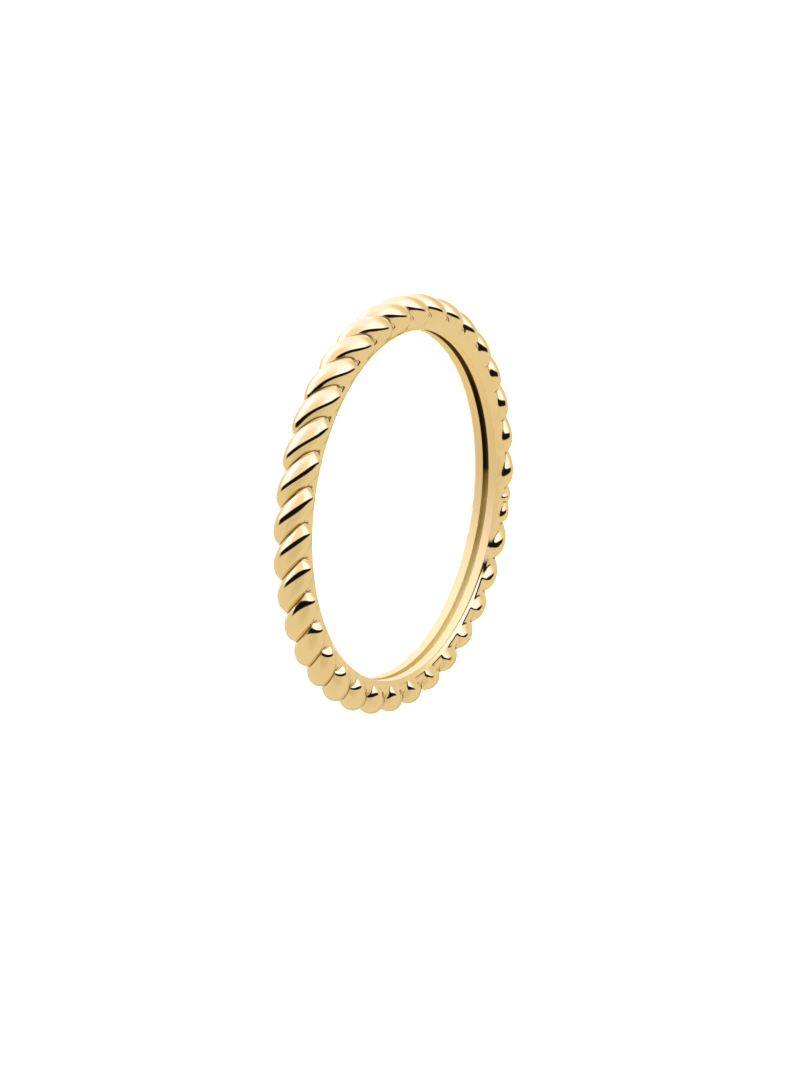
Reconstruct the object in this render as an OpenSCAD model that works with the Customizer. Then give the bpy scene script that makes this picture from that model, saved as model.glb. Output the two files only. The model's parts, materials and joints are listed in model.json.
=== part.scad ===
// Rope twist ring, cast in one piece: a band shaped like a twisted rope outside,
// with two smooth rails and a narrow channel between them inside the finger hole.
// Millimetres. The ring lies on its side: z = 0 is the surface it rests on, +Z is its axis.

/* [Finger Hole] */
// Inside diameter, rail to rail (US size 7)
bore_d = 17.3; // [14:0.1:22]
// Width across both rails, from edge to edge
rail_span = 1.2; // [0.9:0.01:1.5]
// Width of the channel between the rails
channel_w = 0.33; // [0.2:0.01:0.5]
// Depth of the channel under the rails
channel_depth = 0.28; // [0.1:0.01:0.4]
// Flat land left beside each rail edge
edge_land = 0.04; // [0.02:0.01:0.1]

/* [Rope] */
// Width of the rope along the ring's axis
rope_width = 1.94; // [1.7:0.01:2.3]
// Height of the rope's oval section, across the finger
rope_height = 1.76; // [1.5:0.01:1.95]
// Radial thickness, from the rails to the strands' crowns
band_thickness = 1.72; // [1.6:0.01:2]
// Strands counted once round the ring
strand_count = 34; // [24:1:44]
// Depth of the valleys between strands over the crown
strand_depth = 0.34; // [0.1:0.01:0.4]
// How much deeper the valleys get beside the rope
deeper_beside = 0.12; // [0:0.01:0.15]
// Depth of the smooth flank under the strands at the rope's sides
side_depth = 0.34; // [0.1:0.01:0.4]
// How far a strand runs along the band from its crown to the side of the rope
strand_sweep = 0.64; // [0.3:0.02:1.2]
// How far a strand's ridge leans toward its lower neighbour, as a share of the strand's width
ridge_lean = 0.25; // [0:0.02:0.44]
// Angle round the rope where the flank is smooth
smooth_from = 135; // [128:1:136]

/* [Joint] */
// Which strand is split in two, where the rope's ends meet
joint_strand = 18; // [1:1:22]
// Share of that strand's room that the first of the two thin strands takes
joint_share = 0.62; // [0.4:0.02:0.7]
// Depth of the valley between the two thin strands
joint_valley = 0.2; // [0.12:0.01:0.3]
// How far the two thin strands lie under the others
joint_drop = 0.08; // [0.04:0.01:0.1]

/* [Hidden] */
bore_r = bore_d / 2;
half_width = rope_width / 2;
half_height = rope_height / 2;
core_r = bore_r + band_thickness - half_height;
edge_z = rail_span / 2;
// the rail edge seen from the rope's centre, in the section made round
edge_out = (bore_r + edge_land - core_r) / half_height;
edge_up = edge_z / half_width;
edge_reach = sqrt(pow(edge_out, 2) + pow(edge_up, 2));
edge_angle = atan2(edge_up, edge_out);
// where the straight flank leaves the oval
flank_angle = 126;
// the ridge keeps leaning down to this angle round the rope
lean_angle = 129;
// where a ridge stands between its valleys over the crown
crown_ridge = 0.53;
sweep_angle = strand_sweep / core_r * 180 / PI;
// a valley of the first strand at the crown, counted from +X
first_valley = -97.9;
steps = 6;
// the split strand is laid as two
columns = (strand_count + 1) * steps;
buried_r = bore_r - 0.4;
mid_z = half_width;
// angles round the rope, from the lower rail edge over the crown to the upper one
half_turns = concat(
    [for (i = [0 : 7]) 90 * i / 7],
    [for (i = [1 : 3]) 90 + (flank_angle - 90) * i / 3],
    [smooth_from, edge_angle]
);
turns = concat(
    [for (i = [len(half_turns) - 1 : -1 : 1]) -half_turns[i]],
    half_turns
);

function sloped(t) = pow(t, 3) * (4 - 3 * t);
// share of the oval's radius: 1 over the rope, then the straight flank down to the rail edge
function oval_share(a) =
    abs(a) <= flank_angle ? 1 :
    edge_reach * sin(edge_angle - flank_angle)
        / (sin(abs(a) - flank_angle) + edge_reach * sin(edge_angle - abs(a)));
// where strand n starts and how much room it has, counted in whole strands
function start_of(n) = n <= joint_strand ? n : n == joint_strand + 1 ? joint_strand + joint_share : n - 1;
function room_of(n) = n == joint_strand ? joint_share : n == joint_strand + 1 ? 1 - joint_share : 1;
function is_thin(n) = n == joint_strand || n == joint_strand + 1;
function at_joint(n, v) = (n == joint_strand && v > 0) || (n == joint_strand + 1 && v < 0);
function ridge_depth(n) = is_thin(n) ? joint_drop : 0;
function eased(t) = pow(t, 2) * (3 - 2 * t);
// 0 over the crown, 1 from 110 degrees on
function beside(a) = eased(min(max((abs(a) - 65) / 45, 0), 1));
function lowest(a, n, v) = (at_joint(n, v) ? joint_valley : strand_depth) + deeper_beside * beside(a);
// the valleys are as deep as over the crown until the smooth flank under the strands comes up
function floor_depth(a) = max(0, side_depth * (smooth_from - abs(a)) / (smooth_from - 90));
function valley_depth(a, n, v) =
    min(ridge_depth(n) + (lowest(a, n, v) - ridge_depth(n)) * pow(abs(v), 2.3 - 0.5 * beside(a)),
        floor_depth(a));
// where the ridge stands between its two valleys
function ridge_place(a) = crown_ridge - sign(a) * ridge_lean * sloped(min(abs(a) / lean_angle, 1));
// v runs from -1 to 0 on the ridge and on to 1 in the next valley
function lay(a, v) = v < 0 ? ridge_place(a) * (1 + v) : ridge_place(a) + (1 - ridge_place(a)) * v;
function place(a, n, v) =
    first_valley + 360 / strand_count * (start_of(n) + room_of(n) * lay(a, v))
        - sweep_angle * sign(a) * sin(min(abs(a), 90));
function on_ring(r, t, z) = [r * cos(t), r * sin(t), z];
function strand_of(i) = floor(i / steps);
function share_of(i) = 2 * (i % steps) / steps - 1;
function skin_point(i, a) =
    let (v = share_of(i),
         d = valley_depth(a, strand_of(i), v),
         k = oval_share(a))
    on_ring(core_r + (half_height * k - d) * cos(a), place(a, strand_of(i), v),
            (half_width * k - d) * sin(a));
function skin_row(a) = [for (i = [0 : columns - 1]) skin_point(i, a)];
function buried_row(a, z) =
    [for (i = [0 : columns - 1]) on_ring(buried_r, place(a, strand_of(i), share_of(i)), z)];
function flat(rows) = [for (row = rows) for (p = row) p];

// The rope's outer skin closed by a straight wall that lies inside the finger hole.
module rope_body() {
    rows = concat(
        [buried_row(-edge_angle, -edge_z)],
        [for (a = turns) skin_row(a)],
        [buried_row(edge_angle, edge_z)]
    );
    count = len(rows);
    faces = [
        for (j = [0 : count - 1]) for (i = [0 : columns - 1])
            let (k = (i + 1) % columns, m = (j + 1) % count,
                 a = j * columns + i, b = j * columns + k,
                 c = m * columns + k, d = m * columns + i)
            for (f = [[a, c, b], [a, d, c]]) f
    ];
    polyhedron(points = flat(rows), faces = faces);
}

// The finger hole with the channel standing out from it, turned round the ring's axis.
module bore_cutter() {
    rotate_extrude($fn = 96)
        polygon([
            [0, -rope_width],
            [bore_r, -rope_width],
            [bore_r, -channel_w / 2],
            [bore_r + channel_depth, -channel_w / 2],
            [bore_r + channel_depth, channel_w / 2],
            [bore_r, channel_w / 2],
            [bore_r, rope_width],
            [0, rope_width]
        ]);
}

// The whole ring: one gold casting, resting on its side.
module rope_band() {
    color([0.83, 0.69, 0.42])
        translate([0, 0, mid_z])
            difference() {
                rope_body();
                bore_cutter();
            }
}

rope_band();
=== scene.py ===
"""A gold finger ring shaped like a twisted rope, lying on its side on a pale studio table."""
import json
import math

import bpy
import numpy as np
from mathutils import Matrix, Vector


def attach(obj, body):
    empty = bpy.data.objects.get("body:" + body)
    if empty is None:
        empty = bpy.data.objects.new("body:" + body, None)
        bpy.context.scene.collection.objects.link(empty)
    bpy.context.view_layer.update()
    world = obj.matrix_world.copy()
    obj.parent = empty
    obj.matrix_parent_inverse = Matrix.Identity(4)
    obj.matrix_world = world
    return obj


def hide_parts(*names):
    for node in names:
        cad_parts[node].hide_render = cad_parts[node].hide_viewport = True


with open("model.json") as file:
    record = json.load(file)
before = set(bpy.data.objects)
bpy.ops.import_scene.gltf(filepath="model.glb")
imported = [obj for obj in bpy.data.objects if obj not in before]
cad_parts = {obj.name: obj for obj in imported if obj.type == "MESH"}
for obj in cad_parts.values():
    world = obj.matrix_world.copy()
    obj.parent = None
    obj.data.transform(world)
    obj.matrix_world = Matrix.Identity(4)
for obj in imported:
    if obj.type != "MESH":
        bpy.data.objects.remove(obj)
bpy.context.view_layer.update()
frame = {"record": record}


# The rope band
# One casting in yellow gold, polished all over: strands laid round the finger like a twisted rope, on a
# smooth flank that comes up between them. Inside, two rails bear on the finger, and the narrow channel
# between them is left as cast, duller than the rest.

# the finger hole, the rails across it and the height of the ring's middle are the frame's bore, in metres
finger_bore = frame["record"]["mounts"][0]
finger_r = finger_bore["dims"]["r_mm"] / 1000
rail_half = finger_bore["dims"]["length_mm"] / 2000
mid_height = finger_bore["pos_m"][2]
# half of the rope's oval section, along the ring's axis and across the finger
rope_half = mid_height
rope_deep = 0.00088
band_thick = 0.00172
core_r = finger_r + band_thick - rope_deep
channel_half = 0.000165
channel_deep = 0.00028
edge_land = 0.00004
edge_round, lip_round, corner_round = 0.00002, 0.000015, 0.00001
# how deep the valleys between strands are over the crown, how much deeper beside the rope, and how deep
# the smooth flank starts at the rope's side
valley_depth = 0.000345
deeper_beside = 0.00012
side_depth = 0.00034
# the power that rounds a strand's crest, the fillet in a valley and its share of the strand, and the
# roundness of the edge between strand and flank
crest_power = 2.3
valley_fillet, fillet_reach = 0.00001, 0.05
meet_round = 0.000024
# angles round the rope in degrees, from 0 on its crown: where the valleys get deeper, where the straight
# flank leaves the oval, where the ridges stop leaning and where the flank is smooth
deeper_from, deeper_full = 65.0, 110.0
flank_angle = 126.0
lean_span = 129.0
smooth_from = 135.0
# round the ring: degrees to the first valley, and degrees that a strand sweeps to the rope's side
strands = 34
first_valley = -97.9
strand_sweep = 3.9
# where a ridge stands between its valleys over the crown, and how far it leans, as shares of a strand
crown_ridge = 0.53
ridge_lean = 0.25
# where the rope's ends meet one strand is split in two, and the pair lies a little under the others
joint_strand, joint_share = 18, 0.62
joint_valley, joint_drop = 0.0002, 0.00008
# the mesh: columns to a strand, rows down each straight flank and rows over the rope
strand_steps = 28
flank_rows, rope_rows = 7, 49

edge_out = (finger_r + edge_land - core_r) / rope_deep
edge_up = rail_half / rope_half
edge_reach = math.hypot(edge_out, edge_up)
edge_angle = math.degrees(math.atan2(edge_up, edge_out))


def rising(value, start, full):
    """0 at start and 1 at full, in a straight line between them and level beyond."""
    return np.clip((value - start) / (full - start), 0, 1)


def oval_share(turn):
    """Share of the oval's radius at turn degrees round the rope: 1 over the rope, and past the flank angle
    the straight line from there to the rail edge, R sin(E - F) / (sin(a - F) + R sin(E - a)), where R and E
    are the edge's reach and angle, F the flank angle and a the turn."""
    a = np.abs(turn)
    past = np.radians(np.maximum(a - flank_angle, 0))
    left = np.radians(edge_angle - a)
    line = edge_reach * math.sin(math.radians(edge_angle - flank_angle)) / (
        np.sin(past) + edge_reach * np.sin(left))
    return np.where(a <= flank_angle, 1.0, line)


def strand_depth(turn, strand, share):
    """Depth under the oval at turn degrees round the rope and share -1 to 1 across a strand, 0 on its ridge:
    the valley depth, which grows beside the rope, times |share| to the crest power, less a fillet at the
    valley's bottom, and never deeper than the smooth flank, which comes up in a straight line from the side
    depth at 90 degrees to nothing. The two meet in a rounded edge: half of their sum less the root of their
    difference squared plus the roundness squared. The pair at the joint starts from its own drop and has a
    shallower valley between. Beside the depth comes a share that is 1 where the flank shows, and grows to
    that over 0.03 mm of depth."""
    thin = (strand == joint_strand) | (strand == joint_strand + 1)
    between = thin & ((share > 0) == (strand == joint_strand))
    ridge = np.where(thin, joint_drop, 0)
    rest = 1 - np.abs(share)
    beside = rising(np.abs(turn), deeper_from, deeper_full)
    beside = beside ** 2 * (3 - 2 * beside)
    lowest = np.where(between, joint_valley, valley_depth) + deeper_beside * beside
    valley = ridge + (lowest - ridge) * np.abs(share) ** crest_power
    valley = valley - valley_fillet * np.exp(-(rest / fillet_reach) ** 2)
    flank = side_depth * np.maximum(smooth_from - np.abs(turn), 0) / (smooth_from - 90)
    meet = (valley + flank - np.sqrt((valley - flank) ** 2 + meet_round ** 2)) / 2
    return np.maximum(meet, 0), rising(valley - flank, 0, 0.00003)


def strand_angle(turn, strand, share):
    """Angle round the ring in degrees: the strand's place, its ridge leaning to one side by the lean times
    t cubed times (4 - 3t), where t is the turn as a share of the lean's span, less the sweep times the sine
    of the turn, which stays full past 90 degrees. The split strand's room is shared by its two thin ones."""
    t = np.minimum(np.abs(turn) / lean_span, 1)
    ridge = crown_ridge - np.sign(turn) * ridge_lean * t ** 3 * (4 - 3 * t)
    lay = np.where(share < 0, ridge * (1 + share), ridge + (1 - ridge) * share)
    start = np.where(strand <= joint_strand, strand, strand - 1)
    start = np.where(strand == joint_strand + 1, joint_strand + joint_share, start)
    room = np.where(strand == joint_strand, joint_share, 1)
    room = np.where(strand == joint_strand + 1, 1 - joint_share, room)
    swept = strand_sweep * np.sign(turn) * np.sin(np.radians(np.minimum(np.abs(turn), 90)))
    return first_valley + 360 / strands * (start + room * lay) - swept


def rail_section():
    """Half of the inside, as (distance from the ring's axis, height): the rounded rail edge, the rail, its
    rounded lip over the channel, the channel's straight wall, the rounded corner and the floor. Each round
    is a quarter circle of three steps, off its corner by the radius times 1 less the sine one way and 1
    less the cosine the other. Beside it comes the lip's row past which the gold is left as cast."""
    quarter = np.radians([0, 30, 60, 90])
    by_sine, by_cosine = 1 - np.sin(quarter), 1 - np.cos(quarter)
    along = np.array([0.1, 0.5, 0.9])
    level = np.ones(len(along))
    floor_r = finger_r + channel_deep
    edge = finger_r + edge_round * by_sine, rail_half - edge_round * by_cosine
    rail = finger_r * level, rail_half - along * (rail_half - channel_half)
    lip = finger_r + lip_round * by_cosine, channel_half + lip_round * by_sine
    wall = finger_r + channel_deep * along, channel_half * level
    corner = floor_r - corner_round * by_sine, channel_half - corner_round * by_cosine
    floor = np.array([floor_r, floor_r]), channel_half * np.array([0.85, 0.3])
    section = np.concatenate([np.stack(part, -1) for part in (edge, rail, lip, wall, corner, floor)])
    return section, len(quarter) + len(along) + 1


def band_rows():
    """Points of the whole skin on a grid: one axis runs once round the ring, the other once round the
    section. On the rope a point stands on the oval, less the strand's depth there; a column keeps its share
    of a strand, closer together toward the valleys, as the sine of equal steps. Inside, the rail profile is
    carried round with the same columns. Beside the points come where the gold is left as cast, which also
    carries the channel's painted shade; where it is satin from the finger's rubbing, which also carries a
    painted sheen; where the flank carries a painted sheen with a rougher satin, placed by its height in the
    picture; and how near to a valley, which fades where the valley is shallow and carries the valleys'
    painted shade."""
    number = np.arange((strands + 1) * strand_steps)
    strand = number // strand_steps
    share = np.sin(np.pi / 2 * (2 * (number % strand_steps) / strand_steps - 1))
    bend = np.concatenate([np.linspace(-edge_angle, -flank_angle, flank_rows)[:-1],
                           np.linspace(-flank_angle, flank_angle, rope_rows),
                           np.linspace(flank_angle, edge_angle, flank_rows)[1:]])
    turn, across = np.meshgrid(bend, share, indexing="ij")
    deep, on_flank = strand_depth(turn, strand[None, :], across)
    angle = strand_angle(turn, strand[None, :], across)
    away = core_r + (rope_deep * oval_share(turn) - deep) * np.cos(np.radians(turn))
    high = (rope_half * oval_share(turn) - deep) * np.sin(np.radians(turn))
    half, lip_row = rail_section()
    inner = np.concatenate([half, half[::-1] * [1, -1]])
    blend = np.linspace(0, 1, len(inner) + 2)[1:-1, None]
    away = np.concatenate([away, np.repeat(inner[:, :1], number.size, 1)])
    high = np.concatenate([high, np.repeat(inner[:, 1:], number.size, 1)])
    angle = np.concatenate([angle, angle[-1:] * (1 - blend) + angle[:1] * blend])
    angle = np.radians(angle)
    points = np.stack([away * np.cos(angle), away * np.sin(angle), high + mid_height], -1)
    rows = np.arange(len(points)) - len(bend)
    # the channel, left as cast, also carries its painted shade; the rails also carry a painted sheen
    cast = (rows > lip_row) & (rows < len(inner) - 1 - lip_row)
    rubbed = (rows >= 0) & ~cast
    inside = np.zeros((len(inner), number.size))
    # +X is the picture's downward direction: a painted sheen on the flank beside the rail edges, with a
    # rougher satin, in metres from above the picture's middle to a little under it
    down = points[:len(bend), :, 0]
    sheen_band = rising(down, -0.0038, -0.0020) * rising(down, 0.0023, 0.0018)
    worn_flank = on_flank * rising(np.abs(turn), 112, 120) * sheen_band
    # nearness to a valley, which the material darkens as painted shade
    to_valley = np.abs(across) * rising(deep, 0, 0.00022)
    return points, {
        "as_cast": np.repeat(cast[:, None], number.size, 1),
        "rubbed": np.repeat(rubbed[:, None], number.size, 1),
        "worn_flank": np.concatenate([worn_flank, inside]),
        "to_valley": np.concatenate([to_valley, inside]),
    }


def closed_surface(name, points):
    """Mesh of a grid of points that closes on itself both ways: each cell is a quad of its four corners."""
    rows, columns = points.shape[:2]
    j, i = np.meshgrid(np.arange(rows), np.arange(columns), indexing="ij")
    k, m = (i + 1) % columns, (j + 1) % rows
    quads = np.stack([j * columns + i, j * columns + k, m * columns + k, m * columns + i], -1)
    mesh = bpy.data.meshes.new(name)
    mesh.from_pydata(points.reshape(-1, 3), [], quads.reshape(-1, 4))
    mesh.polygons.foreach_set("use_smooth", np.ones(len(mesh.polygons), bool))
    mesh.update()
    piece = bpy.data.objects.new(name, mesh)
    bpy.context.scene.collection.objects.link(piece)
    return piece


def fill_ramp(ramp, stops):
    """Lays each tint on a colour ramp at its place from 0 to 1; the first takes the ramp's own stop at 0."""
    for place, tint in stops:
        stop = ramp.elements[0] if place == 0.0 else ramp.elements.new(place)
        stop.color = (*tint, 1)


def polished_gold():
    """Yellow gold: a metal surface with a fine grain and a slow drift of colour and sharpness. The rails are
    satin from rubbing and a patch of the flank is satin too; their paler colour is a painted sheen. The
    channel is duller, with painted shade and reflection: dark toward the picture's top and pale toward its
    bottom. The valleys are duller too and keep a dark line of painted shade."""
    gold = bpy.data.materials.new("polished_gold")
    gold.use_nodes = True
    nodes, links = gold.node_tree.nodes, gold.node_tree.links
    shader = nodes["Principled BSDF"]
    shader.inputs["Metallic"].default_value = 1.0
    where = nodes.new("ShaderNodeTexCoord").outputs["Object"]
    drift = nodes.new("ShaderNodeTexNoise")
    drift.inputs["Scale"].default_value = 420.0
    drift.inputs["Detail"].default_value = 3.0
    links.new(where, drift.inputs["Vector"])
    tone = nodes.new("ShaderNodeValToRGB")
    deeper, paler = tone.color_ramp.elements
    deeper.position, deeper.color = 0.3, (0.86, 0.69, 0.40, 1)
    paler.position, paler.color = 0.7, (0.90, 0.73, 0.44, 1)
    links.new(drift.outputs["Fac"], tone.inputs["Fac"])

    def share_of(finish):
        """How much of that finish the mesh carries at the point."""
        node = nodes.new("ShaderNodeAttribute")
        node.attribute_name = finish
        return node.outputs["Fac"]

    def near_valley(low):
        """Smooth step from 0 where the nearness to a valley is low to 1 in the valley."""
        step = nodes.new("ShaderNodeMapRange")
        step.interpolation_type = "SMOOTHSTEP"
        step.inputs["From Min"].default_value = low
        links.new(share_of("to_valley"), step.inputs["Value"])
        return step.outputs["Result"]

    def laid_over(under, share, over, how):
        """The colour under with another laid over it where the share is 1."""
        mix = nodes.new("ShaderNodeMix")
        mix.data_type = "RGBA"
        mix.blend_type = how
        factor_in, under_in, over_in = mix.inputs[0], mix.inputs[6], mix.inputs[7]
        if isinstance(over, tuple):
            over_in.default_value = over
        else:
            links.new(over, over_in)
        links.new(share, factor_in)
        links.new(under, under_in)
        return mix.outputs[2]

    apart = nodes.new("ShaderNodeSeparateXYZ")
    links.new(where, apart.inputs[0])
    down = nodes.new("ShaderNodeMapRange")
    down.inputs["From Min"].default_value = -0.009
    down.inputs["From Max"].default_value = 0.009
    links.new(apart.outputs["X"], down.inputs["Value"])
    # the channel's painted shade and reflection, dark from its highest place in the picture, pale to its
    # lowest
    channel = nodes.new("ShaderNodeValToRGB")
    fill_ramp(channel.color_ramp, (
        (0.0, (0.42, 0.29, 0.13)), (0.1, (0.34, 0.23, 0.10)), (0.16, (0.13, 0.09, 0.045)),
        (0.365, (0.13, 0.09, 0.045)), (0.378, (0.52, 0.39, 0.11)), (0.45, (0.82, 0.70, 0.34)),
        (0.53, (0.76, 0.65, 0.33)), (0.62, (0.83, 0.73, 0.45)), (0.74, (0.90, 0.81, 0.50)),
        (0.99, (0.92, 0.78, 0.42))))
    channel.color_ramp.elements.remove(channel.color_ramp.elements[-1])
    links.new(down.outputs["Result"], channel.inputs["Fac"])
    colour = tone.outputs["Color"]
    # laid over the drift: a painted sheen on the rails and on the flank patch, the channel's painted shade
    # and reflection, and painted shade multiplied dark into the valleys
    for share, tint, how in ((share_of("rubbed"), (1.0, 0.84, 0.50, 1), "MIX"),
                             (share_of("worn_flank"), (1.0, 0.83, 0.46, 1), "MIX"),
                             (share_of("as_cast"), channel.outputs["Color"], "MIX"),
                             (near_valley(low=0.93), (0.2, 0.16, 0.12, 1), "MULTIPLY")):
        colour = laid_over(colour, share, tint, how)
    links.new(colour, shader.inputs["Base Color"])
    gloss = nodes.new("ShaderNodeMapRange")
    gloss.inputs["To Min"].default_value = 0.05
    gloss.inputs["To Max"].default_value = 0.09
    links.new(drift.outputs["Fac"], gloss.inputs["Value"])
    rough = gloss.outputs["Result"]
    for share, rougher in ((share_of("as_cast"), 0.40), (share_of("rubbed"), 0.62),
                           (share_of("worn_flank"), 0.62), (near_valley(low=0.86), 0.35)):
        node = nodes.new("ShaderNodeMath")
        node.operation = "MULTIPLY_ADD"
        node.inputs[1].default_value = rougher
        links.new(share, node.inputs[0])
        links.new(rough, node.inputs[2])
        rough = node.outputs["Value"]
    links.new(rough, shader.inputs["Roughness"])
    grain = nodes.new("ShaderNodeTexNoise")
    grain.inputs["Scale"].default_value = 9000.0
    grain.inputs["Detail"].default_value = 2.0
    links.new(where, grain.inputs["Vector"])
    bump = nodes.new("ShaderNodeBump")
    bump.inputs["Strength"].default_value = 0.04
    bump.inputs["Distance"].default_value = 0.00001
    links.new(grain.outputs["Fac"], bump.inputs["Height"])
    links.new(bump.outputs["Normal"], shader.inputs["Normal"])
    return gold


skin_points, finishes = band_rows()
rope = closed_surface("rope_ring", skin_points)
for finish, amount in finishes.items():
    layer = rope.data.attributes.new(finish, "FLOAT", "POINT")
    layer.data.foreach_set("value", amount.astype(float).ravel())
rope.data.materials.append(polished_gold())
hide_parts("rope_band")
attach(rope, "root")


# The table
# A wide sheet of matt white studio paper, laid flat. The ring rests on it by the side of its rope, with
# nothing to hold it.

table_half = 3.0
table_mesh = bpy.data.meshes.new("table_sheet")
corners = np.array([(-1, -1, 0), (1, -1, 0), (1, 1, 0), (-1, 1, 0)]) * table_half
table_mesh.from_pydata(corners, [], [(0, 1, 2, 3)])
table = bpy.data.objects.new("table_sheet", table_mesh)
bpy.context.scene.collection.objects.link(table)
paper = bpy.data.materials.new("white_paper")
paper.use_nodes = True
paper_shader = paper.node_tree.nodes["Principled BSDF"]
paper_shader.inputs["Base Color"].default_value = (0.90, 0.90, 0.80, 1)
paper_shader.inputs["Roughness"].default_value = 0.8
table.data.materials.append(paper)
table.visible_glossy = False


# The studio
# A light tent as for a jewellery picture: white softboxes all round, brighter at the left and right and
# dimmer over the lens and behind, a pale sheet underneath, and on the lens's side a dark gap between the
# two, which draws the black line on each strand.

room = bpy.data.worlds.new("light_tent")
room.use_nodes = True
room_nodes, room_links = room.node_tree.nodes, room.node_tree.links
bpy.context.scene.world = room
bpy.context.scene.view_settings.view_transform = "Standard"
# radians: how high the lens stands over the table, and how far the camera is rolled from upright, where
# the picture's top is -X
lift, roll = 0.5270, -0.1481
to_lens = np.array([0, -math.cos(lift), math.sin(lift)])
flat_side = np.array([0, math.sin(lift), math.cos(lift)])
flat_up = np.array([-1.0, 0, 0])
lens_side = flat_side * math.cos(roll) - flat_up * math.sin(roll)
lens_up = flat_side * math.sin(roll) + flat_up * math.cos(roll)


def seen_from_ring(round_deg, up_deg):
    """Unit vector from the ring: round_deg turns from the lens to the picture's right, up_deg rises to its
    top."""
    a, e = math.radians(round_deg), math.radians(up_deg)
    return (to_lens * math.cos(a) + lens_side * math.sin(a)) * math.cos(e) + lens_up * math.sin(e)


def room_math(operation, first, second=None, third=None):
    """One Math node of the room's light, fed by sockets or numbers."""
    node = room_nodes.new("ShaderNodeMath")
    node.operation = operation
    for socket, value in zip(node.inputs, (first, second, third)):
        if isinstance(value, bpy.types.NodeSocket):
            room_links.new(value, socket)
        elif value is not None:
            socket.default_value = value
    return node.outputs["Value"]


def toward(aim):
    """Cosine between the looked-at direction and aim, times aim's length."""
    node = room_nodes.new("ShaderNodeVectorMath")
    node.operation = "DOT_PRODUCT"
    room_links.new(looked_at.outputs["Generated"], node.inputs[0])
    node.inputs[1].default_value = aim
    return node.outputs["Value"]


def eased(value, low, high):
    """Smooth step of value from 0 at low to 1 at high."""
    node = room_nodes.new("ShaderNodeMapRange")
    node.interpolation_type = "SMOOTHSTEP"
    node.inputs["From Min"].default_value = low
    node.inputs["From Max"].default_value = high
    room_links.new(value, node.inputs["Value"])
    return node.outputs["Result"]


def with_stretches(light, stretches):
    """The light with each brighter or dimmer stretch added: where it is round and up, how far it spreads in
    degrees, and how much it adds at its middle."""
    for where, spread, more in stretches:
        glow = eased(toward(seen_from_ring(*where)), math.cos(math.radians(spread)), 1.0)
        light = room_math("MULTIPLY_ADD", glow, more, light)
    return light


looked_at = room_nodes.new("ShaderNodeTexCoord")
front, beside, top = seen_from_ring(0, 0), seen_from_ring(90, 0), seen_from_ring(0, 90)
# the softboxes' lower edge and the sheet's far edge, tilted planes through the ring, leave a dark gap
# between them on the lens's side
over_boxes_edge = eased(toward(top - 0.035 * front - 0.06 * beside), 0.07, 0.12)
over_sheet_edge = eased(toward(top + 0.2 * seen_from_ring(-20, 0)), -0.159, -0.109)
on_lens_side = eased(toward(seen_from_ring(8, 0)), -0.38, -0.12)
gap_darkness = 0.99
boxes = with_stretches(1.40, (((-97, 33), 46, 0.30), ((65, 25), 44, 0.20), ((-12, 22), 48, -0.24),
                              ((130, 25), 46, -0.47), ((-128, 10), 34, -0.47)))
sheet = with_stretches(0.96, (((10, -36), 55, -0.13), ((172, -5), 40, -0.24)))
level = room_math("MULTIPLY_ADD", over_boxes_edge, room_math("SUBTRACT", boxes, sheet), sheet)
gap = room_math("MULTIPLY", over_sheet_edge, room_math("SUBTRACT", 1.0, over_boxes_edge))
gap = room_math("MULTIPLY", room_math("MULTIPLY", gap, on_lens_side), gap_darkness)
level = room_math("MULTIPLY", level, room_math("SUBTRACT", 1.0, gap))
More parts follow.
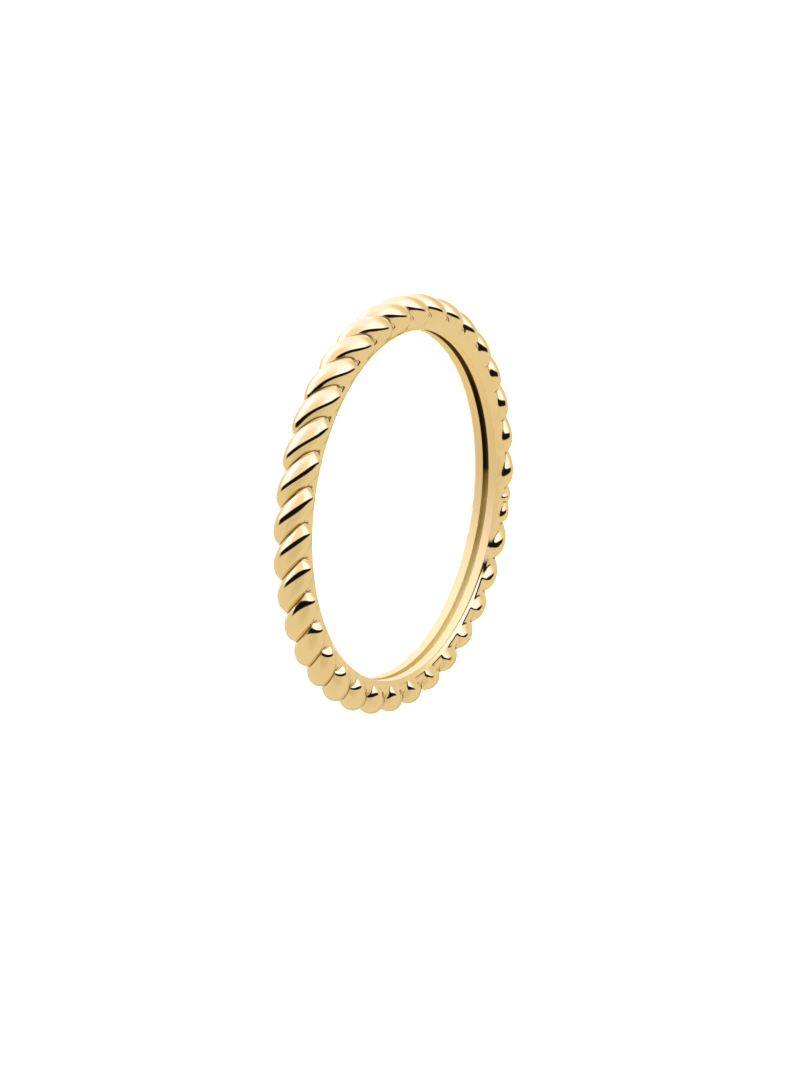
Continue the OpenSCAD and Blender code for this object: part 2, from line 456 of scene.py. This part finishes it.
# the sheet's light is warm, and the softboxes are cooler and whiter the brighter they are; the ramp spans
# the levels from 0 to 2 and ends in its own white stop, and its tints are shares of the brightest light
brightest = 4.0
shade = room_nodes.new("ShaderNodeValToRGB")
tints = ((0.0, (0, 0, 0)), (0.4, (0.75, 0.66, 0.47)), (0.5, (0.93, 0.84, 0.63)),
         (0.6, (1.12, 1.02, 0.89)), (0.7, (1.3, 1.24, 1.5)), (0.8, (1.5, 1.47, 1.9)))
fill_ramp(shade.color_ramp, [(place, [part / brightest for part in tint]) for place, tint in tints])
room_links.new(room_math("MULTIPLY", level, 0.5), shade.inputs["Fac"])
room_links.new(shade.outputs["Color"], room_nodes["Background"].inputs["Color"])
room_nodes["Background"].inputs["Strength"].default_value = brightest


# The lamps for the table
# Two wide soft lights that whiten the paper, one high above and one just behind the lens, which leave
# hardly any shadow beside the ring; the gold mirrors only the tent.

for label, size, energy, spot in (("overhead_lamp", 0.5, 7.0, (-0.15, 0.1, 0.8)),
                                  ("lens_lamp", 0.25, 9.0, tuple(to_lens * 0.6))):
    lamp_data = bpy.data.lights.new(label, "AREA")
    lamp_data.shape = "DISK"
    lamp_data.size = size
    lamp_data.energy = energy
    lamp = bpy.data.objects.new(label, lamp_data)
    lamp.location = spot
    lamp.rotation_euler = Vector(spot).to_track_quat("Z", "Y").to_euler()
    lamp.visible_glossy = False
    bpy.context.scene.collection.objects.link(lamp)


# The camera
# A long lens half a metre away, 30 degrees above the table, turned on its side so that the ring stands
# in the picture as it does in the photograph.

# the lens's focal length and the picture's height, in the picture's pixels
focal_pixels, picture_height = 10222.6, 1067
sensor_mm = 36.0
distance = 57.791 * finger_r
camera_data = bpy.data.cameras.new("long_lens")
camera_data.lens = sensor_mm * focal_pixels / picture_height
camera_data.sensor_width = sensor_mm
camera_data.clip_start = 0.02
camera_data.clip_end = 20.0
camera = bpy.data.objects.new("long_lens", camera_data)
bpy.context.scene.collection.objects.link(camera)
bpy.context.scene.camera = camera
# the ring sits a little left of and above the picture's middle, so the camera is turned by these radians
turn_x, turn_y = -0.00047, -0.0029
ahead = -to_lens
side = lens_side * math.cos(turn_x) + ahead * math.sin(turn_x)
ahead = ahead * math.cos(turn_x) - lens_side * math.sin(turn_x)
above = lens_up * math.cos(turn_y) - ahead * math.sin(turn_y)
ahead = lens_up * math.sin(turn_y) + ahead * math.cos(turn_y)
lens_at = to_lens * distance + [0, 0, mid_height]
camera.matrix_world = Matrix([[side[n], above[n], -ahead[n], lens_at[n]] for n in range(3)] + [[0, 0, 0, 1]])
